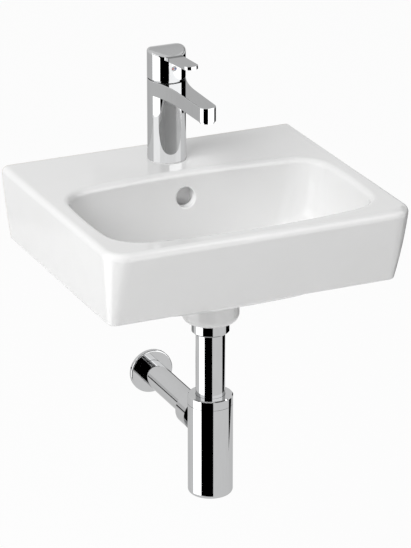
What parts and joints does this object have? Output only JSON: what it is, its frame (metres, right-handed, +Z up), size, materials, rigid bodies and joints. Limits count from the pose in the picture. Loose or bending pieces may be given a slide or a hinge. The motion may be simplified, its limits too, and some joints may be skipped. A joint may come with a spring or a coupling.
{
  "type": "wall-hung washbasin with mixer tap and bottle trap",
  "caption": "Small wall-hung ceramic hand basin with a tap ledge and overflow, a chrome single-lever mixer tap, a push-down waste plug and a chrome bottle trap with a wall arm.",
  "frame": {"origin": "midway between the two wall-fixing holes, on the plane of the wall", "axes": "+Z up, +Y into the wall, +X to the right for a person at the basin"},
  "size_m": [0.3988, 0.3658, 0.549],
  "materials": {
    "white_glaze": "smooth white sanitary glaze, high gloss",
    "chrome": "polished chrome plate",
    "black_rubber": "matt black rubber",
    "brass": "turned brass",
    "steel": "bright steel",
    "white_plastic": "moulded white plastic",
    "alumina": "lapped alumina",
    "indicator": "small glossy grey cap"
  },
  "bodies": {
    "root": {"aerator_housing": "chrome", "aerator_insert": "white_plastic", "aerator_seal": "black_rubber", "arm_nut": "chrome", "arm_seal": "black_rubber", "arm_tube": "chrome", "basin": "white_glaze", "cartridge_base": "white_plastic", "cartridge_housing": "white_plastic", "cartridge_inlet_seals": "black_rubber", "cartridge_nut": "brass", "clean_out_plug": "chrome", "clean_out_seal": "black_rubber", "dome_cap": "chrome", "fixed_disc": "alumina", "flange_seal": "black_rubber", "plug_guide": "white_plastic", "tap_base_seal": "white_plastic", "tap_body": "chrome", "tap_clamp_plate": "steel", "tap_nut": "brass", "tap_pad": "black_rubber", "tap_stud": "steel", "trap_bottle": "chrome", "trap_cap_ring": "chrome", "trap_cap_seal": "black_rubber", "trap_inlet_nut": "chrome", "trap_inlet_seal": "black_rubber", "trap_inlet_tube": "chrome", "wall_rosette": "chrome", "waste_body": "chrome", "waste_nut": "brass", "waste_washer": "black_rubber"},
    "swing": {"cartridge_rotor": "white_plastic", "stem_pin": "steel"},
    "lift": {"cartridge_stem": "steel", "handle": "chrome", "grub_screw": "steel", "indicator_plug": "indicator"},
    "disc": {"moving_disc": "alumina", "disc_carrier": "white_plastic"},
    "plug": {"plug_stem": "brass", "plug_cap": "chrome", "plug_seal": "black_rubber"}
  },
  "joints": [
    {"name": "handle_swing", "type": "hinge", "parent": "root", "child": "swing", "pos_m": [0, -0.056, 0.155], "axis": [0, 0, 1], "range_deg": [-45, 45]},
    {"name": "handle_lift", "type": "hinge", "parent": "swing", "child": "lift", "pos_m": [0, -0.056, 0.155], "axis": [-1, 0, 0], "range_deg": [0, 22]},
    {"name": "disc_slide", "type": "slide", "parent": "swing", "child": "disc", "axis": [0, -1, 0], "range_m": [0, 0.0027]},
    {"name": "plug_push", "type": "slide", "parent": "root", "child": "plug", "axis": [0, 0, -1], "range_m": [0, 0.0077]}
  ],
  "couplings": [
    {"joint": "disc_slide", "follows": "handle_lift", "m_per_rad": 0.00683}
  ]
}
